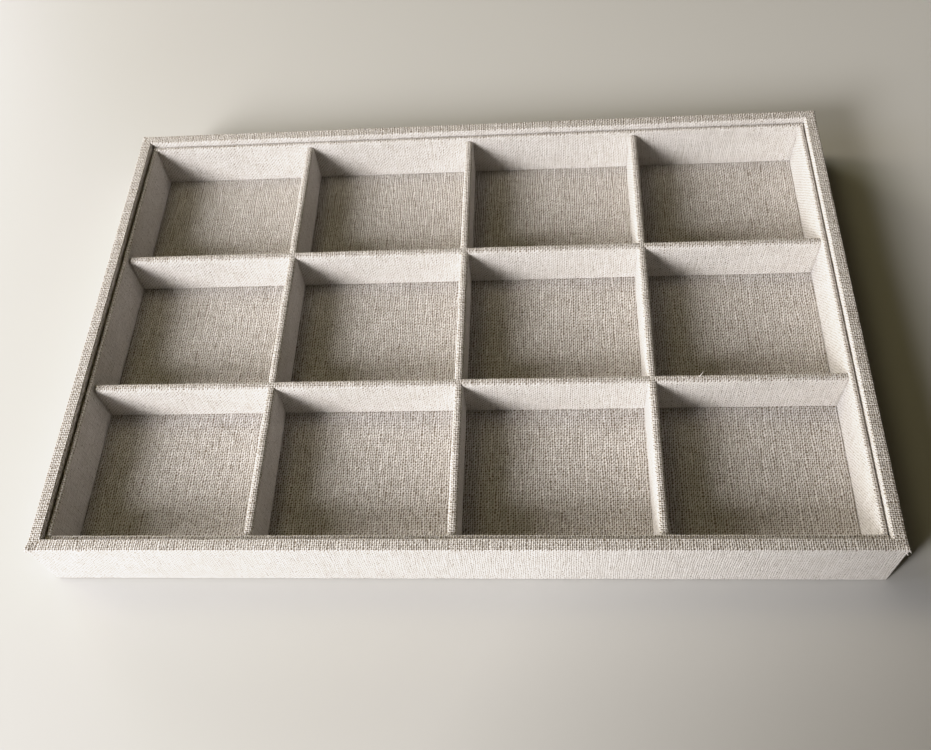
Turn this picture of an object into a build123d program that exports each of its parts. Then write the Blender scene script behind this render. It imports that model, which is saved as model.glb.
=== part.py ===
from build123d import *

import math
import os

# A linen covered jewelry tray: a mitred frame on a base board, and an insert that lifts out of it.
# The insert has its own floor and four low walls, and a grid of halving jointed dividers.
# All lengths are in millimetres. X runs left to right, Y front to back and Z up.
# The origin is the middle of the tray's underside.

# Overall size of the covered tray
tray_length = 350.0
tray_width = 240.0
tray_height = 30.0

# Cloth, and how the wrap is turned under the tray and cut at its corners
linen_thickness = 0.4
lining_thickness = 0.3
lining_inset = 3.0
turn_in_width = 14.0
mitre_slit_width = 0.25

# Frame and base of the outer tray
frame_board_thickness = 4.5
frame_board_round = 0.3
frame_corner_round = 0.6
base_board_thickness = 2.0

# Insert: its running gap in the tray, its floor and its walls
insert_clearance = 0.6
insert_board_thickness = 0.8
liner_board_thickness = 1.4
liner_board_round = 0.4
liner_drop = 2.4

# Divider grid
divider_board_thickness = 3.2
divider_board_round = 1.4
divider_height = 21.5
slot_clearance = 0.15
slot_depth_share = 0.5
grid_play_x = 0.6
grid_play_y = 0.4

# A rounded edge takes at most this share of its board's thickness.
round_limit_share = 0.45
# How far a cutting block runs past the faces that it cuts
overrun = 5.0

# Names of the dividers, which also set how many rows and columns there are
long_dividers = ["long_divider_front", "long_divider_rear"]
cross_dividers = ["cross_divider_left", "cross_divider_centre", "cross_divider_right"]

# Levels, from the underside up
turn_in_bottom = lining_thickness
base_bottom = turn_in_bottom + linen_thickness
base_top = base_bottom + base_board_thickness
tray_floor = base_top + linen_thickness
insert_board_top = tray_floor + insert_board_thickness
insert_floor = insert_board_top + linen_thickness
liner_top = tray_height - liner_drop
divider_top = insert_floor + divider_height
slot_level = insert_floor + divider_height * slot_depth_share

# Thicknesses of the covered walls, and half sizes in plan from the tray's middle
frame_wall = frame_board_thickness + 2 * linen_thickness
liner_wall = liner_board_thickness + 2 * linen_thickness
divider_wall = divider_board_thickness + 2 * linen_thickness
half_length = tray_length / 2
half_width = tray_width / 2
opening_x = half_length - frame_wall
opening_y = half_width - frame_wall
insert_x = opening_x - insert_clearance
insert_y = opening_y - insert_clearance
inside_x = insert_x - liner_wall
inside_y = insert_y - liner_wall

pieces = {}


def block(x_range, y_range, z_range):
    """A box between a low and a high value on each axis."""
    sizes = [high - low for low, high in (x_range, y_range, z_range)]
    middle = [(high + low) / 2 for low, high in (x_range, y_range, z_range)]
    return Pos(*middle) * Box(*sizes)


def centred(half_x, half_y, z_low, z_high):
    """A box on the middle of the tray, given by its half sizes in plan."""
    return block((-half_x, half_x), (-half_y, half_y), (z_low, z_high))


def round_upright(solid, radius):
    """The solid with its upright edges rounded."""
    return fillet(solid.edges().filter_by(Axis.Z), radius)


def round_top(solid, radius):
    """The solid with the edges of its top face rounded."""
    top_face = solid.faces().sort_by(Axis.Z)[-1]
    return fillet(top_face.edges(), radius)


def board_round(wanted, thickness):
    """An edge radius that a board of this thickness has room for."""
    return min(wanted, round_limit_share * thickness)


def wall_ring(half_x, half_y, wall, z_low, z_high, corner_radius, edge_radius):
    """Four walls in one ring, with rounded outer corners and rounded top edges."""
    outside = round_upright(centred(half_x, half_y, z_low, z_high), corner_radius)
    ring = outside - centred(half_x - wall, half_y - wall, z_low, z_high)
    return round_top(ring, edge_radius)


def frame_ring():
    """The four frame boards as one ring, before the mitres part them."""
    return wall_ring(half_length - linen_thickness, half_width - linen_thickness,
                     frame_board_thickness, base_top, tray_height - linen_thickness,
                     board_round(frame_corner_round, frame_board_thickness),
                     board_round(frame_board_round, frame_board_thickness))


def mitre_prism(side):
    """The upright prism that holds one side of the frame, cut at 45 degrees at both corners."""
    depth = 2 * frame_wall
    corners = [(-half_length, -half_width), (half_length, -half_width),
               (half_length, half_width), (-half_length, half_width)]
    inner = [(x - math.copysign(depth, x), y - math.copysign(depth, y)) for x, y in corners]
    first = ["front", "right", "back", "left"].index(side)
    second = (first + 1) % len(corners)
    outline = Polyline(corners[first], corners[second], inner[second], inner[first], close=True)
    return extrude(make_face(outline), amount=tray_height)


def add_frame():
    """Base board and the four mitred frame boards that stand on it."""
    base = centred(half_length - linen_thickness, half_width - linen_thickness, base_bottom, base_top)
    pieces["base_board"] = round_upright(base, board_round(frame_corner_round, frame_board_thickness))
    ring = frame_ring()
    for side in ("front", "right", "back", "left"):
        pieces["frame_" + side + "_board"] = ring & mitre_prism(side)


def mitre_slit(sign_x, sign_y):
    """The plate that slits the wrap along one corner's diagonal, but not the cloth round the outside."""
    diagonal = math.sqrt(2)
    start = linen_thickness * diagonal + frame_corner_round * (diagonal - 1)
    end = turn_in_width * diagonal + overrun
    plate = Box(end - start, mitre_slit_width, tray_height + overrun,
                align=(Align.MIN, Align.CENTER, Align.MIN))
    inward = math.degrees(math.atan2(-sign_y, -sign_x))
    corner = Location((sign_x * half_length, sign_y * half_width, 0), (0, 0, inward))
    return corner * Pos(start, 0, 0) * plate


def add_outer_wrap():
    """The linen strip: up the outside, over the rim, down inside, and turned in under the base."""
    covered = centred(half_length, half_width, turn_in_bottom, tray_height)
    corner_radius = board_round(frame_corner_round, frame_board_thickness) + linen_thickness
    covered = round_upright(covered, corner_radius)
    covered -= centred(opening_x, opening_y, base_top, tray_height)
    covered = round_top(covered, board_round(frame_board_round, frame_board_thickness) + linen_thickness)
    wrap = covered - frame_ring() - pieces["base_board"]
    wrap -= centred(half_length - turn_in_width, half_width - turn_in_width, turn_in_bottom, base_bottom)
    for sign_x in (-1, 1):
        for sign_y in (-1, 1):
            wrap -= mitre_slit(sign_x, sign_y)
    pieces["outer_linen_wrap"] = wrap


def add_tray_sheets():
    """The cloth on the tray's own floor, and the lining pasted over the turned-in edges."""
    pieces["tray_floor_linen"] = centred(opening_x, opening_y, base_top, tray_floor)
    window_x = half_length - turn_in_width
    window_y = half_width - turn_in_width
    lining = centred(half_length - lining_inset, half_width - lining_inset, 0, base_bottom)
    lining -= (centred(half_length, half_width, turn_in_bottom, base_bottom)
               - centred(window_x, window_y, turn_in_bottom, base_bottom))
    lining -= centred(window_x - lining_thickness, window_y - lining_thickness,
                      0, base_bottom - lining_thickness)
    pieces["underside_lining"] = lining


def covered_board(x_range, y_range, z_range, edge_radius):
    """A board standing on edge, and the linen folded over its top, faces and ends."""
    linen = linen_thickness
    z_low, z_high = z_range
    outside = round_top(block(x_range, y_range, z_range), edge_radius + linen)
    board = block((x_range[0] + linen, x_range[1] - linen),
                  (y_range[0] + linen, y_range[1] - linen), (z_low, z_high - linen))
    board = round_top(board, edge_radius)
    return board, outside - board


def add_covered(name, board, linen):
    """Files a board and its cloth under the name of the wall or divider that they make."""
    pieces[name + "_board"] = board
    pieces[name + "_linen"] = linen


def add_insert_floor():
    """The insert's floor board, and the floor cloth between its walls."""
    pieces["insert_floor_board"] = centred(insert_x, insert_y, tray_floor, insert_board_top)
    pieces["insert_floor_linen"] = centred(inside_x, inside_y, insert_board_top, insert_floor)


def add_liner_walls():
    """Four covered walls: front and back run the full length, left and right stand between them."""
    height = (insert_board_top, liner_top)
    radius = board_round(liner_board_round, liner_board_thickness)
    full_x = (-insert_x, insert_x)
    between_y = (-inside_y, inside_y)
    places = {
        "liner_front": (full_x, (-insert_y, -inside_y)),
        "liner_back": (full_x, (inside_y, insert_y)),
        "liner_left": ((-insert_x, -inside_x), between_y),
        "liner_right": ((inside_x, insert_x), between_y),
    }
    for name, (x_range, y_range) in places.items():
        add_covered(name, *covered_board(x_range, y_range, height, radius))


def divider_middles(low, high, count):
    """Where dividers stand on a crossing one of this reach, with equal compartments between them."""
    compartment = (high - low - count * divider_wall) / (count + 1)
    first = low + compartment + divider_wall / 2
    return [first + index * (compartment + divider_wall) for index in range(count)]


def add_divider_grid():
    """Long dividers slotted from below and cross dividers slotted from above, halved together."""
    height = (insert_floor, divider_top)
    radius = board_round(divider_board_round, divider_board_thickness)
    half_wall = divider_wall / 2
    half_slot = half_wall + slot_clearance
    reach_x = (-inside_x + grid_play_x, inside_x)
    reach_y = (-inside_y + grid_play_y, inside_y)
    long_middles = divider_middles(*reach_y, len(long_dividers))
    cross_middles = divider_middles(*reach_x, len(cross_dividers))
    from_below = (insert_floor - overrun, slot_level + slot_clearance)
    from_above = (slot_level - slot_clearance, divider_top + overrun)
    for name, y in zip(long_dividers, long_middles):
        board, linen = covered_board(reach_x, (y - half_wall, y + half_wall), height, radius)
        for x in cross_middles:
            slot = block((x - half_slot, x + half_slot), (y - divider_wall, y + divider_wall), from_below)
            board -= slot
            linen -= slot
        add_covered(name, board, linen)
    for name, x in zip(cross_dividers, cross_middles):
        board, linen = covered_board((x - half_wall, x + half_wall), reach_y, height, radius)
        for y in long_middles:
            slot = block((x - divider_wall, x + divider_wall), (y - half_slot, y + half_slot), from_above)
            board -= slot
            linen -= slot
        add_covered(name, board, linen)


def main():
    """Builds every piece and writes each one to its own file."""
    add_frame()
    add_outer_wrap()
    add_tray_sheets()
    add_insert_floor()
    add_liner_walls()
    add_divider_grid()
    os.makedirs("parts", exist_ok=True)
    for name, piece in pieces.items():
        export_step(piece, os.path.join("parts", name + ".step"))
    print(len(pieces), "pieces written")


main()
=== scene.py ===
import math

import bpy
import numpy as np
from mathutils import Matrix, Vector


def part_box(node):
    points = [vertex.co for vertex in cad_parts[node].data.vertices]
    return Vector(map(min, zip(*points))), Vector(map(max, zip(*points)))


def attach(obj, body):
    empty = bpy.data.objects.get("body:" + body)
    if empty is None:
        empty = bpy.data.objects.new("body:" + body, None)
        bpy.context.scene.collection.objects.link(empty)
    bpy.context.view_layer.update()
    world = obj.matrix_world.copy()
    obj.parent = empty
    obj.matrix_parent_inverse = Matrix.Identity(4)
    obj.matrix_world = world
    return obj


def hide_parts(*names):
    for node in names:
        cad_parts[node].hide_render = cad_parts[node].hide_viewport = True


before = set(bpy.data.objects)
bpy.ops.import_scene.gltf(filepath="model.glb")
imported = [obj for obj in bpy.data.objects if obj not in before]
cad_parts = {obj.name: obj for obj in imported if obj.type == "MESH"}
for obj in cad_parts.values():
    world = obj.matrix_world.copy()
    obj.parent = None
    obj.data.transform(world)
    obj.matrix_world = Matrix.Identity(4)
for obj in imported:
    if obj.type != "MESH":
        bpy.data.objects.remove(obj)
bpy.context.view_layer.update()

# Every length in this script is in metres. MM turns a length in millimetres into metres.
MM = 0.001

# Linen: thread spacing, thickness, and the radius of its folds over each kind of board
WARP_PITCH = 0.90 * MM
WEFT_PITCH = 0.89 * MM
CLOTH_THICKNESS = 0.33 * MM
RIM_ROUND = 0.7 * MM
RIM_CORNER_ROUND = 1.0 * MM
INNER_CORNER_ROUND = 0.05 * MM
HEM_ROUND = 0.6 * MM
DIVIDER_ROUND = 1.6 * MM
LINER_ROUND = 0.95 * MM
END_ROUND = 0.5 * MM
# The floor cloths are pulled a little wider, which spreads their threads along X, and lie a little askew
FLOOR_STRETCH = 1.055
TRAY_FLOOR_SKEW = 0.004
INSERT_FLOOR_SKEW = -0.006
# Mesh spacing on flat stretches, and the steps in a quarter round, in a wall's end and in half a corner
FLAT_STEP = 2.0 * MM
ROUND_STEPS = 6
END_STEPS = 3
CORNER_STEPS = 3
STEP_TOLERANCE = 1e-6
# Edges that turn by more than this stay sharp
SHARP_ANGLE = math.radians(50)
# How far the cloth's surface wanders from true, over what distance, and in how many waves of what spread
WANDER = 0.05 * MM
WANDER_LENGTH = 7.0 * MM
WANDER_WAVES = 9
WANDER_SPREAD = (0.6, 1.7)
WANDER_SEED = 5
# Mitre seams of the wrap: depth of the groove, its half width, and mesh stations beside it
SEAM_DEPTH = 0.15 * MM
SEAM_HALF_WIDTH = 0.3 * MM
SEAM_STATIONS = [0.15 * MM, 0.3 * MM, 0.6 * MM, 1.2 * MM]
# Section of the wrap: rim width, width and level of the part turned in under the base, level of its foot
RIM_WIDTH = 5.3 * MM
TURN_IN = 14.0 * MM
TURN_IN_LEVEL = 0.3 * MM
WRAP_FOOT = 2.7 * MM
# Which way the four sides of the wrap face, in the order in which the strip runs round
OUTWARD = [(0, -1), (1, 0), (0, 1), (-1, 0)]
# Halving slots: half their width, and the level where the two halves meet
SLOT_CLEARANCE = 0.03 * MM
SLOT_HALF_WIDTH = 2.0 * MM + SLOT_CLEARANCE
SLOT_LEVEL = 15.05 * MM
# Hair gaps that show as dark lines: under the dividers' cloth, and round the floor cloth
FOOT_GAP = 0.4 * MM
FLOOR_GAP = 0.3 * MM
# How far the gathered cloth stands out at each top corner of the rim, from the front left round
CORNER_FLARES = [0.8 * MM, 0.5 * MM, 0.2 * MM, 0.4 * MM]
CORNER_FLARE_REACH = 2.5 * MM
# Worn ends of thread: the body each rides on, then its strands as a path and a thickness in millimetres
FRAYS = {
    "corner_fray": ("tray", [
        ([(173.9, -118.6, 29.6), (174.5, -119.4, 29.8), (174.9, -120.0, 29.6), (175.4, -120.7, 29.1)], 1.5),
        ([(173.3, -119.3, 29.2), (173.8, -120.0, 28.9), (174.1, -120.6, 28.4), (174.4, -121.1, 27.9)], 1.3),
    ]),
    "divider_fray": ("insert", [
        ([(104.6, -37.0, 25.6), (105.3, -36.4, 26.2), (105.9, -35.9, 26.9), (106.4, -35.4, 27.7)], 0.40),
    ]),
}
STRAND_SIDES = 6
STRAND_TAPER = 0.8

LINERS_ALONG_X = ["liner_front", "liner_back"]
LINERS_ALONG_Y = ["liner_left", "liner_right"]
LONG_DIVIDERS = ["long_divider_front", "long_divider_rear"]
CROSS_DIVIDERS = ["cross_divider_left", "cross_divider_centre", "cross_divider_right"]
FRAME_BOARDS = ["frame_front_board", "frame_right_board", "frame_back_board", "frame_left_board"]


def low_high(node):
    """The low and the high corner of the box round a CAD node."""
    return [Vector(corner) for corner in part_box(node)]


# Shader helpers

# Noise stays mostly between these
NOISE_RANGE = (0.3, 0.7)


def new_material(name):
    """A material with an empty node tree, and its Principled shader."""
    material = bpy.data.materials.new(name)
    material.use_nodes = True
    tree = material.node_tree
    tree.nodes.clear()
    shader = tree.nodes.new("ShaderNodeBsdfPrincipled")
    output = tree.nodes.new("ShaderNodeOutputMaterial")
    tree.links.new(shader.outputs["BSDF"], output.inputs["Surface"])
    return material, tree, shader


def feed(tree, socket, value):
    """Sets a socket to a number or a vector, or links another socket to it."""
    if isinstance(value, bpy.types.NodeSocket):
        tree.links.new(value, socket)
    else:
        socket.default_value = value


def maths(tree, operation, *values, clamp=False):
    """A math node's result."""
    node = tree.nodes.new("ShaderNodeMath")
    node.operation = operation
    node.use_clamp = clamp
    for socket, value in zip(node.inputs, values):
        feed(tree, socket, value)
    return node.outputs[0]


def combine(tree, x, y, z=0.0):
    """A vector from three numbers."""
    node = tree.nodes.new("ShaderNodeCombineXYZ")
    for socket, value in zip(node.inputs, (x, y, z)):
        feed(tree, socket, value)
    return node.outputs[0]


def stretched(tree, along, over, scale_along, scale_over, layer=0.0):
    """The weave place scaled differently each way, for noise drawn out along one set of yarns."""
    return combine(tree, maths(tree, "MULTIPLY", along, scale_along),
                   maths(tree, "MULTIPLY", over, scale_over), layer)


def noise(tree, vector, scale=1.0, detail=2.0, roughness=0.5):
    """Noise from 0 to 1, about 0.5."""
    node = tree.nodes.new("ShaderNodeTexNoise")
    feed(tree, node.inputs["Vector"], vector)
    node.inputs["Scale"].default_value = scale
    node.inputs["Detail"].default_value = detail
    node.inputs["Roughness"].default_value = roughness
    return node.outputs["Fac"]


def remap(tree, value, low, high, to_low=0.0, to_high=1.0):
    """A value carried from one range to another, held at the new range's ends."""
    node = tree.nodes.new("ShaderNodeMapRange")
    for socket, number in zip(node.inputs, (value, low, high, to_low, to_high)):
        feed(tree, socket, number)
    return node.outputs[0]


def by_flatness(tree, flatness, pair):
    """A value that is the pair's first on upright cloth and its second on cloth that lies flat."""
    return remap(tree, flatness, 0.0, 1.0, *pair)


def mix_colours(tree, share, first, second):
    """One colour at share 0, the other at share 1."""
    node = tree.nodes.new("ShaderNodeMix")
    node.data_type = "RGBA"
    feed(tree, node.inputs[0], share)
    for socket, colour in ((node.inputs[6], first), (node.inputs[7], second)):
        feed(tree, socket, (*colour, 1.0) if isinstance(colour, tuple) else colour)
    return node.outputs[2]


def add_bump(tree, shader, height, distance):
    """Drives the shader's normal by a height from 0 to 1 over a distance in metres."""
    bump = tree.nodes.new("ShaderNodeBump")
    bump.inputs["Distance"].default_value = distance
    bump.inputs["Strength"].default_value = 1.0
    tree.links.new(height, bump.inputs["Height"])
    tree.links.new(bump.outputs["Normal"], shader.inputs["Normal"])


def vary_roughness(tree, shader, pattern, low, high):
    """Makes the shader rougher where a noise pattern is high."""
    tree.links.new(remap(tree, pattern, *NOISE_RANGE, low, high), shader.inputs["Roughness"])


def white_noise(tree, vector):
    """A number from 0 to 1 that is its own for each place."""
    node = tree.nodes.new("ShaderNodeTexWhiteNoise")
    node.noise_dimensions = "3D"
    tree.links.new(vector, node.inputs["Vector"])
    return node.outputs["Value"]


# Materials

YARN_LIGHT = (0.79, 0.765, 0.748)
YARN_DARK = (0.57, 0.54, 0.505)
# Colour in the pores and in the painted valley shade: partly the board seen through the weave, mostly
# painted shade
PORE_SHADE = (0.12, 0.088, 0.055)
FLECK = (0.22, 0.17, 0.11)
# Upward part of the surface normal on upright cloth and on flat cloth
UPRIGHT_AND_FLAT = (0.3, 0.95)
# Layers of the noise, so that its patterns don't repeat one another
WEFT_SLUB_LAYER = 3.0
PORE_LAYER = 5.0
WEFT_DRIFT_LAYER = 7.0
# Yarns wander sideways: noise per metre across and along them, and how many threads far
DRIFT_ACROSS = 430.0
DRIFT_ALONG = 70.0
WARP_DRIFT = 2.3
WEFT_DRIFT = 1.4
# Slubs: noise along a yarn per metre and from yarn to yarn, the noise's range, and the yarns' widths for it
SLUB_ALONG = 110.0
SLUB_ACROSS = 7.31
SLUB_RANGE = (0.25, 0.75)
YARN_WIDTHS = (0.75, 1.15)
# How far the warp and the weft swing up and down where they cross, and about what level
WARP_SWING, WARP_LEVEL = 0.40, 0.60
WEFT_SWING, WEFT_LEVEL = -0.40, 0.53
# Height of the lowest crossing beside the highest
LOWEST_CROSSING = 0.8
# Values in pairs are for upright cloth and for flat cloth. Where a pair sets colour, upright and flat cloth
# get their own tones for how the light falls on each: painted light and shade.
# Pores: squeeze along the warp, size, how much wider every second one is, unevenness, and soft edge.
# On flat cloth they are larger, as painted shade where light grazes the weave.
PORE_SQUEEZE = (0.45, 0.72)
PORE_SIZE = (-0.10, 0.15)
SECOND_PORE = (0.17, 0.13)
PORE_UNEVENNESS = 0.13
PORE_EDGE = 0.08
# Tone of a yarn: what its slub, its being warp, its crossing and a slow cloud add to it,
# and the tones at which a yarn is darkest and lightest
SLUB_TONE = (2.4, 2.0)
WARP_TONE = (0.65, 0.35)
CROSSING_TONE = 0.14
CLOUD_TONE = 0.4
CLOUD_SCALE = 60.0
DARKEST_TONE = (1.2, 0.95)
LIGHTEST_TONE = (2.25, 1.85)
# Flecks: noise per metre, the noise's range in which they appear, and how strong they are
FLECK_SCALE = 900.0
FLECK_RANGE = (0.765, 0.81)
FLECK_STRENGTH = 0.8
# Painted shade: how dark the pores are, and how dark the valleys between yarns are painted on flat cloth up
# to a height
PORE_DARKNESS = 0.92
VALLEY_PAINTED_SHADE = 0.45
VALLEY_HEIGHT = 0.5
# Relief: depth of the weave, its share, what a pore takes from it, and the yarns' fine fibres
WEAVE_DEPTH = 0.38 * MM
WEAVE_RELIEF = (0.75, 1.0)
PORE_RELIEF = -0.7
FIBRE_RELIEF = 0.12
FIBRE_SCALE = 5200.0
# Loose fibre and boards: noise per metre, relief, share of the slow cloud, and the pattern's range
STREAK_SCALE = 2600.0
FINE_RELIEF = 0.05 * MM
BOARD_CLOUD_SCALE = 40.0
BOARD_CLOUD_TONE = 0.4
BOARD_RANGE = (0.45, 0.95)
# Table top: noise per metre, and the two colours it wanders between
TABLE_CLOUD_SCALE = 6.0
TABLE_DARK = (0.53, 0.53, 0.515)
TABLE_LIGHT = (0.555, 0.555, 0.54)
# Finishes of the boards and the lining: light colour, dark colour and grain size
FINISHES = {
    "frame_fibreboard": ((0.62, 0.49, 0.34), (0.46, 0.34, 0.22), 0.9 * MM),
    "divider_fibreboard": ((0.58, 0.46, 0.32), (0.42, 0.31, 0.2), 0.7 * MM),
    "grey_card": ((0.52, 0.50, 0.47), (0.40, 0.385, 0.36), 0.5 * MM),
    "backing_paper": ((0.72, 0.68, 0.61), (0.64, 0.60, 0.53), 0.35 * MM),
}


def thread_profile(tree, across, width):
    """Height of a thread from its place across the cell: 1 on its crest, 0 beyond its width."""
    offset = maths(tree, "ABSOLUTE", maths(tree, "MULTIPLY_ADD", across, 2.0, -1.0))
    reach = maths(tree, "DIVIDE", offset, width)
    square = maths(tree, "MULTIPLY", reach, reach)
    return maths(tree, "SQRT", maths(tree, "SUBTRACT", 1.0, square, clamp=True))


def weave_cells(tree):
    """Place in the weave, counted in threads: it drifts sideways, as yarns wander as they run."""
    uv = tree.nodes.new("ShaderNodeUVMap")
    uv.uv_map = "Weave"
    place = uv.outputs[0]
    split = tree.nodes.new("ShaderNodeSeparateXYZ")
    tree.links.new(place, split.inputs[0])
    along, over = split.outputs[0], split.outputs[1]
    warp_drift = noise(tree, stretched(tree, along, over, DRIFT_ACROSS, DRIFT_ALONG), detail=3.0)
    weft_drift = noise(tree, stretched(tree, along, over, DRIFT_ALONG, DRIFT_ACROSS, WEFT_DRIFT_LAYER),
                       detail=3.0)
    u = maths(tree, "ADD", maths(tree, "DIVIDE", along, WARP_PITCH),
              maths(tree, "MULTIPLY", warp_drift, WARP_DRIFT))
    v = maths(tree, "ADD", maths(tree, "DIVIDE", over, WEFT_PITCH),
              maths(tree, "MULTIPLY", weft_drift, WEFT_DRIFT))
    return place, along, over, u, v


def shaded_pores(tree, u, v, flatness):
    """Share of dark pore where four crossings meet: every second one is wider, and each a little uneven.
    On upright cloth only every second pore shows. The dark is partly the gap in the weave and partly painted
    shade in it, and the pores are painted larger on flat cloth, where light grazes the weave."""
    i, j = maths(tree, "ROUND", u), maths(tree, "ROUND", v)
    offset = combine(tree, maths(tree, "SUBTRACT", u, i),
                     maths(tree, "MULTIPLY", maths(tree, "SUBTRACT", v, j),
                           by_flatness(tree, flatness, PORE_SQUEEZE)))
    distance = tree.nodes.new("ShaderNodeVectorMath")
    distance.operation = "LENGTH"
    tree.links.new(offset, distance.inputs[0])
    draw = white_noise(tree, combine(tree, i, j, PORE_LAYER))
    second = maths(tree, "FLOORED_MODULO", maths(tree, "ADD", i, j), 2.0)
    size = maths(tree, "MULTIPLY_ADD", draw, PORE_UNEVENNESS, by_flatness(tree, flatness, PORE_SIZE))
    size = maths(tree, "MULTIPLY_ADD", second, by_flatness(tree, flatness, SECOND_PORE), size)
    return remap(tree, distance.outputs["Value"], maths(tree, "SUBTRACT", size, PORE_EDGE),
                 maths(tree, "ADD", size, PORE_EDGE), 1.0, 0.0)


def crossing_height(tree, thread, run, on_top, swing, level):
    """Height of a thread as it runs through a cell, over the crossing thread or under it."""
    crest = maths(tree, "SINE", maths(tree, "MULTIPLY", run, math.pi))
    rise = maths(tree, "MULTIPLY_ADD", maths(tree, "MULTIPLY", on_top, crest), swing, level)
    return maths(tree, "MULTIPLY", thread, rise)


def yarns(tree, along, over, u, v):
    """The upper yarn: its height, whether it is warp, its slub, and a number that is its crossing's own."""
    column, row = maths(tree, "FLOOR", u), maths(tree, "FLOOR", v)
    in_column, in_row = maths(tree, "FRACT", u), maths(tree, "FRACT", v)
    # Each yarn has its own thickness, which changes slowly along it
    warp_slub = noise(tree, stretched(tree, column, over, SLUB_ACROSS, SLUB_ALONG), detail=1.0)
    weft_slub = noise(tree, stretched(tree, along, row, SLUB_ALONG, SLUB_ACROSS, WEFT_SLUB_LAYER),
                      detail=1.0)
    warp_round = thread_profile(tree, in_column, remap(tree, warp_slub, *SLUB_RANGE, *YARN_WIDTHS))
    weft_round = thread_profile(tree, in_row, remap(tree, weft_slub, *SLUB_RANGE, *YARN_WIDTHS))
    # Which set of yarns is on top in this cell, as plus one or minus one
    odd = maths(tree, "FLOORED_MODULO", maths(tree, "ADD", column, row), 2.0)
    on_top = maths(tree, "MULTIPLY_ADD", odd, -2.0, 1.0)
    warp_height = crossing_height(tree, warp_round, in_row, on_top, WARP_SWING, WARP_LEVEL)
    weft_height = crossing_height(tree, weft_round, in_column, on_top, WEFT_SWING, WEFT_LEVEL)
    is_warp = maths(tree, "GREATER_THAN", warp_height, weft_height)
    is_weft = maths(tree, "SUBTRACT", 1.0, is_warp)
    slub = maths(tree, "ADD", maths(tree, "MULTIPLY", is_warp, warp_slub),
                 maths(tree, "MULTIPLY", is_weft, weft_slub))
    # Every crossing stands a little higher or lower than its neighbours
    crossing = white_noise(tree, combine(tree, column, row))
    height = maths(tree, "MULTIPLY", maths(tree, "MAXIMUM", warp_height, weft_height),
                   remap(tree, crossing, 0.0, 1.0, LOWEST_CROSSING, 1.0))
    return height, is_warp, slub, crossing


def how_flat(tree):
    """How flat the cloth lies, from 0 where it is upright to 1 on the rim and the floors. It steers the
    cloth's painted light and shade by which way the cloth faces.
    """
    normal = tree.nodes.new("ShaderNodeSeparateXYZ")
    tree.links.new(tree.nodes.new("ShaderNodeNewGeometry").outputs["Normal"], normal.inputs[0])
    return remap(tree, normal.outputs[2], *UPRIGHT_AND_FLAT)


def yarn_colour(tree, place, flatness, is_warp, slub, crossing):
    """One shade for each yarn, with lighter and darker stretches and a few flecks. Upright and flat cloth
    get their own tone ranges, which is painted light and shade.
    """
    tone = maths(tree, "MULTIPLY", slub, by_flatness(tree, flatness, SLUB_TONE))
    tone = maths(tree, "MULTIPLY_ADD", is_warp, by_flatness(tree, flatness, WARP_TONE), tone)
    tone = maths(tree, "MULTIPLY_ADD", crossing, CROSSING_TONE, tone)
    cloud = noise(tree, place, CLOUD_SCALE, detail=3.0)
    tone = maths(tree, "MULTIPLY_ADD", cloud, CLOUD_TONE, tone)
    # Different darkest and lightest tones on upright and flat cloth: painted light and shade
    share = remap(tree, tone, by_flatness(tree, flatness, DARKEST_TONE),
                  by_flatness(tree, flatness, LIGHTEST_TONE))
    yarn = mix_colours(tree, share, YARN_DARK, YARN_LIGHT)
    flecks = noise(tree, place, FLECK_SCALE, detail=0.0)
    return mix_colours(tree, remap(tree, flecks, *FLECK_RANGE, 0.0, FLECK_STRENGTH), yarn, FLECK)


def linen_material():
    """Coarse plain weave: round yarns over and under each other, dark pores that are partly painted shade,
    painted shade in the valleys of flat cloth, slubs and flecks.
    """
    material, tree, shader = new_material("linen_weave")
    place, along, over, u, v = weave_cells(tree)
    height, is_warp, slub, crossing = yarns(tree, along, over, u, v)
    flatness = how_flat(tree)
    yarn = yarn_colour(tree, place, flatness, is_warp, slub, crossing)
    shaded_pore = shaded_pores(tree, u, v, flatness)
    # Painted shade in the valleys between the yarns, on flat cloth only
    valley_shade = remap(tree, height, 0.0, VALLEY_HEIGHT, maths(tree, "MULTIPLY", flatness, VALLEY_PAINTED_SHADE), 0.0)
    # The darker of the pores' painted shade and the valleys' painted shade
    dark = maths(tree, "MAXIMUM", maths(tree, "MULTIPLY", shaded_pore, PORE_DARKNESS), valley_shade)
    tree.links.new(mix_colours(tree, dark, yarn, PORE_SHADE), shader.inputs["Base Color"])
    fibre = noise(tree, place, FIBRE_SCALE)
    relief = maths(tree, "MULTIPLY", height, maths(tree, "MULTIPLY_ADD", shaded_pore, PORE_RELIEF, 1.0))
    relief = maths(tree, "MULTIPLY", relief, by_flatness(tree, flatness, WEAVE_RELIEF))
    add_bump(tree, shader, maths(tree, "MULTIPLY_ADD", fibre, FIBRE_RELIEF, relief), WEAVE_DEPTH)
    vary_roughness(tree, shader, fibre, low=0.85, high=0.98)
    shader.inputs["Specular IOR Level"].default_value = 0.25
    shader.inputs["Sheen Weight"].default_value = 0.15
    shader.inputs["Sheen Roughness"].default_value = 0.5
    return material


def fibre_material():
    """Loose flax fibre: pale, dry, with a fine streak."""
    material, tree, shader = new_material("flax_fibre")
    place = tree.nodes.new("ShaderNodeTexCoord").outputs["Object"]
    streak = noise(tree, place, STREAK_SCALE, detail=3.0)
    tree.links.new(mix_colours(tree, streak, YARN_DARK, YARN_LIGHT), shader.inputs["Base Color"])
    vary_roughness(tree, shader, streak, low=0.7, high=0.9)
    add_bump(tree, shader, streak, FINE_RELIEF)
    return material


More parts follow.
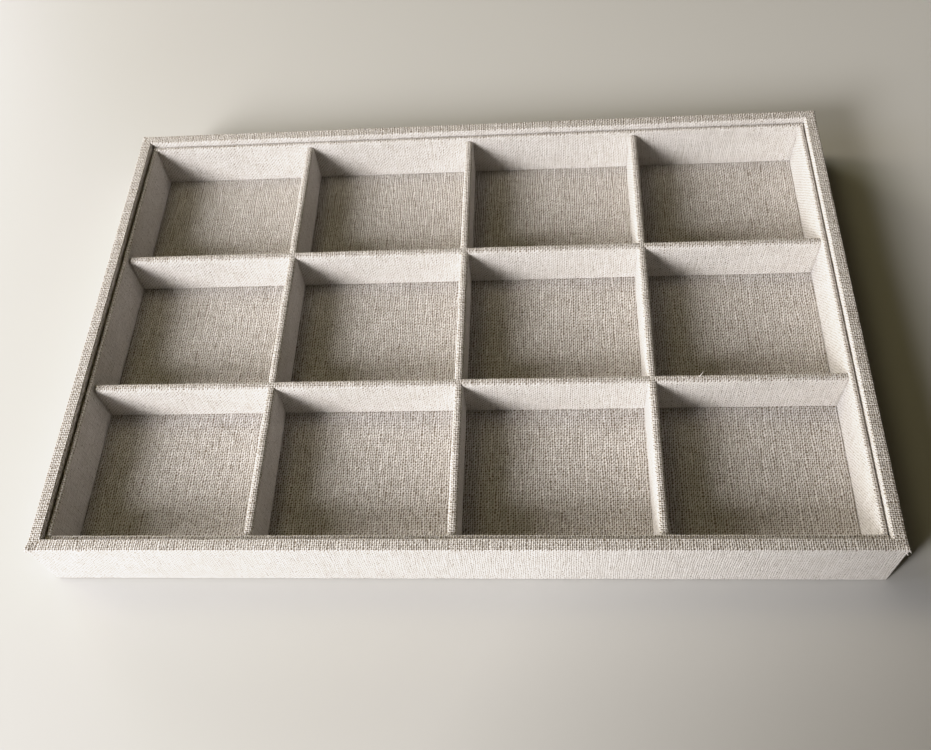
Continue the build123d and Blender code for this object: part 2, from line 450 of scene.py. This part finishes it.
def board_material(name, light, dark, grain):
    """Pressed fibre board, grey card or paper: fine specks and a slow cloud."""
    material, tree, shader = new_material(name)
    place = tree.nodes.new("ShaderNodeTexCoord").outputs["Object"]
    speck = noise(tree, place, 1.0 / grain, detail=4.0, roughness=0.65)
    cloud = noise(tree, place, BOARD_CLOUD_SCALE, detail=3.0)
    share = remap(tree, maths(tree, "MULTIPLY_ADD", cloud, BOARD_CLOUD_TONE, speck), *BOARD_RANGE)
    tree.links.new(mix_colours(tree, share, dark, light), shader.inputs["Base Color"])
    vary_roughness(tree, shader, speck, low=0.75, high=0.95)
    add_bump(tree, shader, speck, FINE_RELIEF)
    shader.inputs["Specular IOR Level"].default_value = 0.3
    return material


def table_material():
    """Smooth pale table top with a faint sheen and the slightest unevenness."""
    material, tree, shader = new_material("table_top")
    place = tree.nodes.new("ShaderNodeTexCoord").outputs["Object"]
    cloud = noise(tree, place, TABLE_CLOUD_SCALE, detail=3.0)
    tree.links.new(mix_colours(tree, cloud, TABLE_DARK, TABLE_LIGHT), shader.inputs["Base Color"])
    vary_roughness(tree, shader, cloud, low=0.42, high=0.48)
    shader.inputs["Specular IOR Level"].default_value = 0.3
    return material


# Mesh helpers

def ripple(places):
    """A smooth uneven field of about -1 to 1, from a few crossing waves of about one length."""
    draw = np.random.default_rng(WANDER_SEED)
    total = np.zeros(len(places))
    for _ in range(WANDER_WAVES):
        heading = draw.normal(size=3)
        heading /= np.linalg.norm(heading)
        wave = 2 * math.pi / (WANDER_LENGTH * draw.uniform(*WANDER_SPREAD))
        total += np.sin(places @ heading * wave + draw.uniform(0, 2 * math.pi))
    return total / math.sqrt(WANDER_WAVES)


class Cloth:
    """Collects the points, faces and weave places of one piece of cloth."""

    def __init__(self):
        self.points = []
        self.sink = []
        self.faces = []
        self.weave = []

    def add_points(self, points, sink=None):
        """Adds a grid of points, and gives their numbers in the same grid. Sink presses some in."""
        points = np.asarray(points, dtype=float)
        shape = points.shape[:2]
        first = len(self.points)
        self.points.extend(map(tuple, points.reshape(-1, 3)))
        self.sink.extend(np.zeros(shape).ravel() if sink is None else np.asarray(sink).ravel())
        return first + np.arange(shape[0] * shape[1]).reshape(shape)

    def add_face(self, corners, weave):
        """Adds one face by the numbers of its corners, with their places in the weave."""
        self.faces.append([int(corner) for corner in corners])
        self.weave.extend(tuple(map(float, place)) for place in weave)

    def add_grid(self, numbers, weave, keep=None):
        """Adds the grid's faces, each with the weave places of its corners."""
        rows, columns = numbers.shape
        for i in range(rows - 1):
            for j in range(columns - 1):
                if keep is None or keep[i, j]:
                    cells = ((i, j), (i, j + 1), (i + 1, j + 1), (i + 1, j))
                    self.add_face([numbers[cell] for cell in cells], [weave[cell] for cell in cells])

    def build(self, name, material):
        """Makes the piece: its surface wanders a little, and it gets the cloth's thickness inwards."""
        mesh = bpy.data.meshes.new(name)
        mesh.from_pydata(self.points, [], self.faces)
        layer = mesh.uv_layers.new(name="Weave")
        layer.data.foreach_set("uv", np.asarray(self.weave, dtype=np.float32).ravel())
        mesh.update()
        normals = np.zeros(len(mesh.vertices) * 3)
        mesh.vertex_normals.foreach_get("vector", normals)
        places = np.asarray(self.points)
        shift = WANDER * ripple(places) - np.asarray(self.sink)
        moved = places + normals.reshape(-1, 3) * shift[:, None]
        mesh.vertices.foreach_set("co", moved.ravel())
        mesh.materials.append(material)
        mesh.update()
        piece = bpy.data.objects.new(name, mesh)
        bpy.context.collection.objects.link(piece)
        thicken(piece)
        return piece


def thicken(piece):
    """Gives a sheet its thickness behind the surface, and sharp cut edges."""
    solid = piece.modifiers.new("thickness", "SOLIDIFY")
    solid.thickness = CLOTH_THICKNESS
    solid.offset = -1.0
    depsgraph = bpy.context.evaluated_depsgraph_get()
    mesh = bpy.data.meshes.new_from_object(piece.evaluated_get(depsgraph))
    piece.modifiers.clear()
    piece.data = mesh
    mesh.shade_smooth()
    mesh.set_sharp_from_angle(angle=SHARP_ANGLE)


def stations(low, high, step, marks=()):
    """Places from low to high, at most a step apart, with every mark among them."""
    stops = sorted({low, high, *(mark for mark in marks if low < mark < high)})
    places = []
    for start, end in zip(stops, stops[1:]):
        count = max(1, math.ceil((end - start) / step - STEP_TOLERANCE))
        places.extend(start + (end - start) * np.arange(count) / count)
    return np.array(places + [high])


def round_angles():
    """Angles inside a quarter round, without its two ends."""
    return np.arange(1, ROUND_STEPS) / ROUND_STEPS * math.pi / 2


def path_lengths(points):
    """How far along its path each point lies."""
    gaps = np.linalg.norm(np.diff(points, axis=0), axis=1)
    return np.concatenate([[0.0], np.cumsum(gaps)])


# Covered walls: the insert's liner walls and its dividers

def folded_section(half, bottom, top, radius, marks=()):
    """Rows of (across, up, out across, out up) round one fold over a board, foot to foot."""
    rise = stations(bottom, top - radius, FLAT_STEP, marks)
    shoulder = half - radius
    rows = [(-half, z, -1.0, 0.0) for z in rise]
    for angle in round_angles():
        out = (-math.cos(angle), math.sin(angle))
        rows.append((-shoulder + radius * out[0], top - radius + radius * out[1], *out))
    rows += [(a, top, 0.0, 1.0) for a in stations(-shoulder, shoulder, FLAT_STEP / 2)]
    for angle in round_angles()[::-1]:
        out = (math.cos(angle), math.sin(angle))
        rows.append((shoulder + radius * out[0], top - radius + radius * out[1], *out))
    rows += [(half, z, 1.0, 0.0) for z in rise[::-1]]
    return np.array(rows)


def wall_columns(low, high, marks):
    """Places along a wall, and how far the section shrinks there to round off the wall's ends."""
    middle = stations(low + END_ROUND, high - END_ROUND, FLAT_STEP, marks)
    angles = np.linspace(math.pi / 2, 0, END_STEPS + 1)[:-1]
    reach = END_ROUND * (1 - np.sin(angles))
    shrink = END_ROUND * (1 - np.cos(angles))
    places = np.concatenate([low + reach, middle, high - reach[::-1]])
    inset = np.concatenate([shrink, np.zeros(len(middle)), shrink[::-1]])
    return places, inset


def covered_wall(name, along_x, radius, foot_gap=0.0, slots=(), slots_from_below=True):
    """The cloth folded over a wall that runs along X or Y, with slots cut where others cross it."""
    low, high = low_high(name + "_linen")
    run, side = (0, 1) if along_x else (1, 0)
    half = (high[side] - low[side]) / 2
    middle = (high[side] + low[side]) / 2
    gap = SLOT_CLEARANCE if slots_from_below else -SLOT_CLEARANCE
    level = SLOT_LEVEL + gap
    edges = [slot + sign * SLOT_HALF_WIDTH for slot in slots for sign in (-1, 1)]
    section = folded_section(half, low.z + foot_gap, high.z, radius, [level] if slots else [])
    places, inset = wall_columns(low[run], high[run], edges)
    across = section[:, 0, None] - section[:, 2, None] * inset
    up = section[:, 1, None] - section[:, 3, None] * inset
    run_grid = np.array(np.broadcast_to(places, across.shape))
    if not slots_from_below:
        meet_crossings(run_grid, places, section[:, 1], high.z, slots)
    if along_x:
        points = np.stack([run_grid, middle + across, up], axis=-1)
    else:
        points = np.stack([middle - across, run_grid, up], axis=-1)
    lengths = path_lengths(section[:, :2])
    weave = np.stack([run_grid, np.broadcast_to(lengths[:, None], across.shape)], axis=-1)
    cloth = Cloth()
    numbers = cloth.add_points(points)
    cloth.add_grid(numbers, weave, uncut_faces(section, places, slots, level, slots_from_below))
    close_end(cloth, numbers[:, 0], points[:, 0], places[0], side)
    close_end(cloth, numbers[::-1, -1], points[::-1, -1], places[-1], side)
    return cloth


def uncut_faces(section, places, slots, level, slots_from_below):
    """Which faces of a wall's grid are left beside its slots."""
    keep = np.ones((len(section) - 1, len(places) - 1), dtype=bool)
    row_level = (section[1:, 1] + section[:-1, 1]) / 2
    in_rows = row_level < level if slots_from_below else row_level > level
    column_middle = (places[1:] + places[:-1]) / 2
    for slot in slots:
        in_columns = np.abs(column_middle - slot) < SLOT_HALF_WIDTH
        keep[np.ix_(in_rows, in_columns)] = False
    return keep


def meet_crossings(run_grid, places, up, top, slots):
    """Carries the slots' edges in over the rounded shoulders of the dividers that cross there."""
    above = np.clip(up - (top - DIVIDER_ROUND), 0, DIVIDER_ROUND)
    reach = SLOT_HALF_WIDTH - DIVIDER_ROUND + np.sqrt(DIVIDER_ROUND ** 2 - above ** 2)
    for slot in slots:
        for sign in (-1, 1):
            run_grid[:, np.isclose(places, slot + sign * SLOT_HALF_WIDTH)] = (slot + sign * reach)[:, None]


def close_end(cloth, numbers, points, start, side):
    """Closes one end of a folded section by faces from one of its sides to the other."""
    count = len(numbers)
    weave = [(start + point[side], point[2]) for point in points]
    for i in range(count // 2):
        j = count - 1 - i
        corners = [i, i + 1, j - 1, j] if j - 1 > i + 1 else [i, i + 1, j]
        if j - i > 1:
            cloth.add_face([numbers[c] for c in corners], [weave[c] for c in corners])


# Outer wrap

def wrap_profile():
    """Rows of (inward, up) from the turned-in edge, round the outside and over the rim, to the foot."""
    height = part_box("outer_linen_wrap")[1][2]
    rows = [(d, TURN_IN_LEVEL) for d in stations(HEM_ROUND, TURN_IN, FLAT_STEP)[::-1]]
    for angle in round_angles():
        lift = HEM_ROUND * (1 - math.cos(angle))
        rows.append((HEM_ROUND * (1 - math.sin(angle)), TURN_IN_LEVEL + lift))
    rows += [(0.0, z) for z in stations(TURN_IN_LEVEL + HEM_ROUND, height - RIM_ROUND, FLAT_STEP)]
    for angle in round_angles():
        rows.append((RIM_ROUND * (1 - math.cos(angle)), height - RIM_ROUND * (1 - math.sin(angle))))
    rows += [(d, height) for d in stations(RIM_ROUND, RIM_WIDTH - RIM_ROUND, FLAT_STEP / 2)]
    for angle in round_angles()[::-1]:
        back = RIM_ROUND * (1 - math.cos(angle))
        rows.append((RIM_WIDTH - back, height - RIM_ROUND * (1 - math.sin(angle))))
    rows += [(RIM_WIDTH, z) for z in stations(WRAP_FOOT, height - RIM_ROUND, FLAT_STEP)[::-1]]
    return np.array(rows)


def corner_round(inward):
    """Radius of the wrap's upright corner, at a distance inward from its outer face."""
    return np.sqrt(np.maximum(RIM_CORNER_ROUND - inward, 0.0) ** 2 + INNER_CORNER_ROUND ** 2)


def corner_flares(points, half_x, half_y, top):
    """How far the surface stands out beside each top corner, where the cloth is gathered."""
    total = np.zeros(points.shape[:-1])
    corners = [(-half_x, -half_y), (half_x, -half_y), (half_x, half_y), (-half_x, half_y)]
    for (x, y), flare in zip(corners, CORNER_FLARES):
        distance = np.linalg.norm(points - np.array([x, y, top]), axis=-1)
        total += flare * np.exp(-(distance / CORNER_FLARE_REACH) ** 2)
    return total


def wrap_side(outward, depth, reach, profile):
    """One side of the wrap: a straight stretch, with half of a rounded corner at either end.
    Gives its points, how far along the side each one lies, and how far the seams press it in."""
    inward, up = profile[:, 0, None], profile[:, 1, None]
    radius = corner_round(inward)
    marks = [sign * (reach - place) for place in SEAM_STATIONS for sign in (-1, 1)]
    share = stations(-reach, reach, FLAT_STEP, marks) / reach
    straight = reach - inward - radius
    level = depth - inward
    turns = np.linspace(0, math.pi / 4, CORNER_STEPS + 1)[1:]
    back = turns[::-1]
    middle = straight * share
    run = [-straight - radius * np.sin(back), middle, straight + radius * np.sin(turns)]
    out = [level - radius * (1 - np.cos(back)), np.broadcast_to(level, middle.shape),
           level - radius * (1 - np.cos(turns))]
    arc = [-straight - radius * back, middle, straight + radius * turns]
    run, out, arc = (np.concatenate(parts, axis=1) for parts in (run, out, arc))
    tangent = Vector((-outward.y, outward.x))
    points = np.stack([outward.x * out + tangent.x * run, outward.y * out + tangent.y * run,
                       np.broadcast_to(up, run.shape)], axis=-1)
    from_seam = reach - inward - np.abs(run)
    pressed = SEAM_DEPTH * np.clip(1 - from_seam / SEAM_HALF_WIDTH, 0, 1) * (inward > RIM_CORNER_ROUND)
    return points, arc, pressed


def outer_wrap():
    """Four mitred sides in one strip, joined round the outer corners, with seams on the rim."""
    low, high = low_high("outer_linen_wrap")
    half_x, half_y = (high.x - low.x) / 2, (high.y - low.y) / 2
    profile = wrap_profile()
    lengths = path_lengths(profile)
    cloth = Cloth()
    sides = []
    start = 0.0
    for outward in OUTWARD:
        depth, reach = (half_y, half_x) if outward[0] == 0 else (half_x, half_y)
        points, arc, pressed = wrap_side(Vector(outward), depth, reach, profile)
        outer_reach = reach - RIM_CORNER_ROUND * (1 - math.pi / 4)
        start += outer_reach
        weave = np.stack([start + arc, np.broadcast_to(lengths[:, None], arc.shape)], axis=-1)
        start += outer_reach
        flare = corner_flares(points, half_x, half_y, high.z)
        numbers = cloth.add_points(points[:, :-1], (pressed - flare)[:, :-1])
        sides.append((numbers, weave))
    for side, (numbers, weave) in enumerate(sides):
        following = sides[(side + 1) % len(sides)][0]
        cloth.add_grid(np.concatenate([numbers, following[:, :1]], axis=1), weave)
    return cloth


# Floor cloths

def laid_cloth(node, skew):
    """A flat rectangle of cloth where the node is, its weave a little askew."""
    low, high = low_high(node)
    x = stations(low.x + FLOOR_GAP, high.x - FLOOR_GAP, FLAT_STEP)
    y = stations(low.y + FLOOR_GAP, high.y - FLOOR_GAP, FLAT_STEP)
    grid_y, grid_x = np.meshgrid(y, x, indexing="ij")
    points = np.stack([grid_x, grid_y, np.full(grid_x.shape, high.z)], axis=-1)
    weave = np.stack([grid_x / FLOOR_STRETCH + skew * grid_y, grid_y - skew * grid_x], axis=-1)
    cloth = Cloth()
    cloth.add_grid(cloth.add_points(points), weave)
    return cloth


# The pieces

def add_piece(cloth, linen, node, body):
    """Builds the cloth that stands for a node, and says what it rides on."""
    piece = cloth.build(node.replace("_linen", "_cloth"), linen)
    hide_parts(node)
    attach(piece, body)


def middles(dividers, axis):
    """Where the dividers' middles lie along an axis."""
    return [sum(corner[axis] for corner in low_high(name + "_board")) / 2 for name in dividers]


def add_covered_walls(linen):
    """The cloths of the four liner walls and the five dividers."""
    cross_x = middles(CROSS_DIVIDERS, axis=0)
    long_y = middles(LONG_DIVIDERS, axis=1)
    # Each wall's name, whether it runs along X, its fold's radius, the gap under its cloth, where its slots
    # are, and whether they are cut from below
    walls = [(name, True, LINER_ROUND, 0.0, (), True) for name in LINERS_ALONG_X]
    walls += [(name, False, LINER_ROUND, 0.0, (), True) for name in LINERS_ALONG_Y]
    walls += [(name, True, DIVIDER_ROUND, FOOT_GAP, cross_x, True) for name in LONG_DIVIDERS]
    walls += [(name, False, DIVIDER_ROUND, FOOT_GAP, long_y, False) for name in CROSS_DIVIDERS]
    for name, along_x, radius, foot_gap, slots, from_below in walls:
        # Each of the fold's two rounded shoulders saves 2 - pi / 2 of its radius
        cloth = covered_wall(name, along_x, radius, foot_gap, slots, from_below)
        add_piece(cloth, linen, name + "_linen", "insert")


def add_sheets(linen):
    """The outer wrap and the two floor cloths."""
    add_piece(outer_wrap(), linen, "outer_linen_wrap", "tray")
    for body, board, skew in (("tray", "base_board", TRAY_FLOOR_SKEW),
                              ("insert", "insert_floor_board", INSERT_FLOOR_SKEW)):
        node = body + "_floor_linen"
        add_piece(laid_cloth(node, skew), linen, node, body)


def strand(path, thick):
    """Points and faces of a short strand that tapers to its tip."""
    turns = np.arange(STRAND_SIDES) / STRAND_SIDES * 2 * math.pi
    last = len(path) - 1
    points = []
    for number, place in enumerate(path):
        ahead = Vector(path[min(number + 1, last)]) - Vector(path[max(number - 1, 0)])
        axes = ahead.to_track_quat("Z", "Y").to_matrix()
        radius = thick / 2 * (1 - STRAND_TAPER * number / last)
        points += [Vector(place) + axes @ Vector((radius * math.cos(turn), radius * math.sin(turn), 0))
                   for turn in turns]
    faces = []
    for row in range(last):
        here, above = row * STRAND_SIDES, (row + 1) * STRAND_SIDES
        for i in range(STRAND_SIDES):
            j = (i + 1) % STRAND_SIDES
            faces.append([here + i, here + j, above + j, above + i])
    root = list(range(STRAND_SIDES))[::-1]
    tip = [last * STRAND_SIDES + i for i in range(STRAND_SIDES)]
    return points, faces + [root, tip]


def add_frays():
    """The worn ends of thread at the front right corner of the rim and on a divider."""
    fibre = fibre_material()
    for name, (body, strands) in FRAYS.items():
        points, faces = [], []
        for path, thick in strands:
            more_points, more_faces = strand(np.array(path) * MM, thick * MM)
            faces += [[len(points) + corner for corner in face] for face in more_faces]
            points += more_points
        mesh = bpy.data.meshes.new(name)
        mesh.from_pydata(points, [], faces)
        mesh.materials.append(fibre)
        mesh.shade_smooth()
        piece = bpy.data.objects.new(name, mesh)
        bpy.context.collection.objects.link(piece)
        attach(piece, body)


def finish_of(name):
    """The finish of a CAD node that stays as it is, or None if a cloth stands for it."""
    if name == "underside_lining":
        return "backing_paper"
    if not name.endswith("_board"):
        return None
    if name == "base_board" or name in FRAME_BOARDS:
        return "frame_fibreboard"
    return "divider_fibreboard" if "divider" in name else "grey_card"


def finish_boards():
    """Gives the solids that stay visible their materials."""
    finishes = {name: board_material(name, *finish) for name, finish in FINISHES.items()}
    for name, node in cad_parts.items():
        finish = finish_of(name)
        if finish:
            node.data.materials.clear()
            node.data.materials.append(finishes[finish])


# Table, camera and light

# The table's side, and how far it lies below the part
TABLE_SIZE = 4.0
TABLE_GAP = 0.05 * MM
BACKDROP_RADIUS = 3.5
BACKDROP_COLOUR = (0.57, 0.57, 0.55, 1.0)
# The photograph's frame, and the camera's focal length and the picture's true centre in its pixels
PHOTO_WIDTH, PHOTO_HEIGHT = 931, 750
FOCAL_LENGTH = 968.06
TRUE_CENTRE = (459.44, 421.50)
# The camera's place, and its yaw, pitch and roll in radians
CAMERA_PLACE = Vector((39.04, -271.71, 380.94)) * MM
CAMERA_TURN = (0.174373, -1.022775, 0.161354)
# Width of the camera's sensor, in Blender's own unit of millimetres
SENSOR_WIDTH = 36.0


def add_table():
    """The table top, a hair below the part so that no two faces lie in one plane."""
    bpy.ops.mesh.primitive_plane_add(size=TABLE_SIZE, location=(0, 0, -TABLE_GAP))
    table = bpy.context.object
    table.name = "table"
    table.data.materials.append(table_material())


def add_backdrop():
    """A pale room round the table for low views, which neither lights nor shades anything."""
    bpy.ops.mesh.primitive_uv_sphere_add(segments=64, ring_count=32, radius=BACKDROP_RADIUS)
    backdrop = bpy.context.object
    backdrop.name = "backdrop"
    material, _, shader = new_material("pale_room")
    shader.inputs["Base Color"].default_value = (0.0, 0.0, 0.0, 1.0)
    shader.inputs["Specular IOR Level"].default_value = 0.0
    shader.inputs["Emission Color"].default_value = BACKDROP_COLOUR
    shader.inputs["Emission Strength"].default_value = 1.0
    backdrop.data.materials.append(material)
    backdrop.visible_diffuse = False
    backdrop.visible_glossy = False
    backdrop.visible_transmission = False
    backdrop.visible_volume_scatter = False
    backdrop.visible_shadow = False


def turned(yaw, pitch, roll):
    """The axes of something that is rolled, then pitched, then yawed."""
    return Matrix.Rotation(yaw, 3, "Z") @ Matrix.Rotation(pitch, 3, "X") @ Matrix.Rotation(roll, 3, "Y")


def add_camera():
    """The camera at the photograph's viewpoint."""
    right, forward, up = turned(*CAMERA_TURN).col
    camera = bpy.data.objects.new("camera", bpy.data.cameras.new("camera"))
    bpy.context.collection.objects.link(camera)
    place = Matrix((right, up, -forward)).transposed().to_4x4()
    place.translation = CAMERA_PLACE
    camera.matrix_world = place
    camera.data.sensor_width = SENSOR_WIDTH
    camera.data.lens = SENSOR_WIDTH * FOCAL_LENGTH / PHOTO_WIDTH
    camera.data.shift_x = (PHOTO_WIDTH / 2 - TRUE_CENTRE[0]) / PHOTO_WIDTH
    camera.data.shift_y = (TRUE_CENTRE[1] - PHOTO_HEIGHT / 2) / PHOTO_WIDTH
    camera.data.clip_start = 0.01
    bpy.context.scene.camera = camera


# Panels of soft light: distance, degrees from the left towards the front, degrees up, and colour.
# The first is the main light.
PANELS = [
    (2.5, 50, 28, (1.14, 1.09, 1.05)),
    (2.5, -15, 28, (0.31, 0.27, 0.25)),
    (2.5, -40, 12, (0.36, 0.34, 0.24)),
    (0.9, 50, 12, (0.28, 0.265, 0.25)),
    (0.9, 50, 28, (0.155, 0.15, 0.155)),
    (0.9, 10, 28, (0.21, 0.22, 0.26)),
    (0.9, -15, 28, (0.11, 0.10, 0.06)),
    (0.9, -40, 12, (0.17, 0.165, 0.20)),
    (0.9, -40, 65, (0.10, 0.087, 0.046)),
]
PANEL_HALF_ANGLE = math.radians(9)
ROOM_LIGHT = (0.030, 0.024, 0.013)
# A dark card near the front, which keeps part of the main light off the tray's front right corner
CARD_DISTANCE = 0.5
CARD_EDGE = 0.158
CARD_WIDTH = 1.6
CARD_HEIGHT = 0.38
CARD_LIFT = 0.06
CARD_COLOUR = (0.02, 0.02, 0.02, 1.0)
# Soft shoulder of the picture's bright tones, as pairs of light in and light out
SHOULDER = [(0.6, 0.6), (0.8, 0.775), (0.95, 0.87), (1.2, 0.94), (1.6, 0.985)]
BRIGHTEST = 2.0


def direction(turn, rise):
    """Towards a light, from its degrees from the left towards the front and its degrees up."""
    turn, rise = math.radians(turn), math.radians(rise)
    return Vector((-math.cos(turn) * math.cos(rise), -math.sin(turn) * math.cos(rise), math.sin(rise)))


def facing(towards, place):
    """Stands something at a place, with its back along a direction that leads away from the tray."""
    return Matrix.Translation(place) @ towards.to_track_quat("Z", "Y").to_matrix().to_4x4()


def add_card():
    """The card that shades the main light, which the camera doesn't see."""
    towards = direction(*PANELS[0][1:3])
    aside = Vector((-towards.y, towards.x, 0)).normalized()
    place = towards * CARD_DISTANCE + aside * (CARD_EDGE + CARD_WIDTH / 2) + Vector((0, 0, CARD_LIFT))
    bpy.ops.mesh.primitive_plane_add(size=1.0)
    card = bpy.context.object
    card.name = "light_card"
    card.matrix_world = facing(towards, place) @ Matrix.Diagonal((CARD_WIDTH, CARD_HEIGHT, 1, 1))
    material, _, shader = new_material("black_card")
    shader.inputs["Base Color"].default_value = CARD_COLOUR
    card.data.materials.append(material)
    card.visible_camera = False


def add_light():
    """Soft light from the front left, wrapped round to the left, and a little from all round."""
    for number, (distance, turn, rise, colour) in enumerate(PANELS):
        towards = direction(turn, rise)
        light = bpy.data.lights.new(f"panel_{number}", "AREA")
        light.shape = "SQUARE"
        light.size = 2 * distance * math.tan(PANEL_HALF_ANGLE)
        light.color = [part / max(colour) for part in colour]
        # The power grows with the panel's area, so that its brightness comes from its colour alone
        light.energy = max(colour) * (math.pi * distance) ** 2
        lamp = bpy.data.objects.new(light.name, light)
        lamp.visible_camera = False
        bpy.context.collection.objects.link(lamp)
        lamp.matrix_world = facing(towards, towards * distance)
    world = bpy.data.worlds.new("room")
    bpy.context.scene.world = world
    world.use_nodes = True
    background = world.node_tree.nodes["Background"]
    background.inputs["Color"].default_value = (*(part / max(ROOM_LIGHT) for part in ROOM_LIGHT), 1.0)
    background.inputs["Strength"].default_value = max(ROOM_LIGHT)


def set_tones():
    """The picture's tones: plain up to the middle, and soft where they are bright."""
    view = bpy.context.scene.view_settings
    view.view_transform = "Standard"
    view.use_curve_mapping = True
    view.curve_mapping.white_level = (BRIGHTEST, BRIGHTEST, BRIGHTEST)
    # Curve 3 acts on all colours together
    curve = view.curve_mapping.curves[3]
    for light, shown in SHOULDER:
        curve.points.new(light / BRIGHTEST, shown)
    view.curve_mapping.update()


linen_cloth = linen_material()
add_camera()
add_light()
add_card()
set_tones()
add_table()
add_backdrop()
add_sheets(linen_cloth)
add_covered_walls(linen_cloth)
add_frays()
finish_boards()
